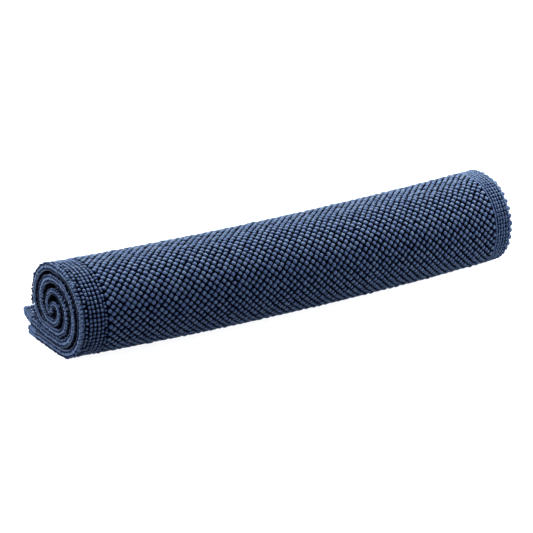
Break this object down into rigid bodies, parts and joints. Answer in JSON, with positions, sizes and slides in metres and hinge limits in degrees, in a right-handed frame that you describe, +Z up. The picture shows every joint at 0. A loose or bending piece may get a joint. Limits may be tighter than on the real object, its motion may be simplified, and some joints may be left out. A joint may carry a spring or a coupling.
{
  "type": "bath mat",
  "caption": "Rolled-up woven cotton bath mat with a bobble texture, plain ribbed borders, looped selvedges and stitched end hems; its loose upper end lifts.",
  "frame": {"origin": "middle of the bounding box, on the surface that the mat lies on", "axes": "+X along the roll towards its far end, +Y to the back where the two loose ends come out, +Z up"},
  "size_m": [0.6, 0.1459, 0.11],
  "materials": {
    "bobble_cloth": "matte",
    "ribbed_cloth": "matte",
    "selvedge_loops": "matte",
    "hem_cloth": "matte",
    "thread": "matte"
  },
  "bodies": {
    "roll": {"rolled_bobble_field": "bobble_cloth", "rolled_near_ribbed_border": "ribbed_cloth", "rolled_far_ribbed_border": "ribbed_cloth", "rolled_near_selvedge": "selvedge_loops", "rolled_far_selvedge": "selvedge_loops", "lower_end_hem": "hem_cloth", "lower_hem_stitching": "thread"},
    "upper_end": {"upper_end_bobble_field": "bobble_cloth", "upper_end_near_ribbed_border": "ribbed_cloth", "upper_end_far_ribbed_border": "ribbed_cloth", "upper_end_near_selvedge": "selvedge_loops", "upper_end_far_selvedge": "selvedge_loops", "upper_end_hem": "hem_cloth", "upper_hem_stitching": "thread"}
  },
  "joints": [
    {"name": "upper_end_lift", "type": "hinge", "parent": "roll", "child": "upper_end", "pos_m": [0, 0.03515, 0.0221], "axis": [1, 0, 0], "range_deg": [0, 30]}
  ]
}
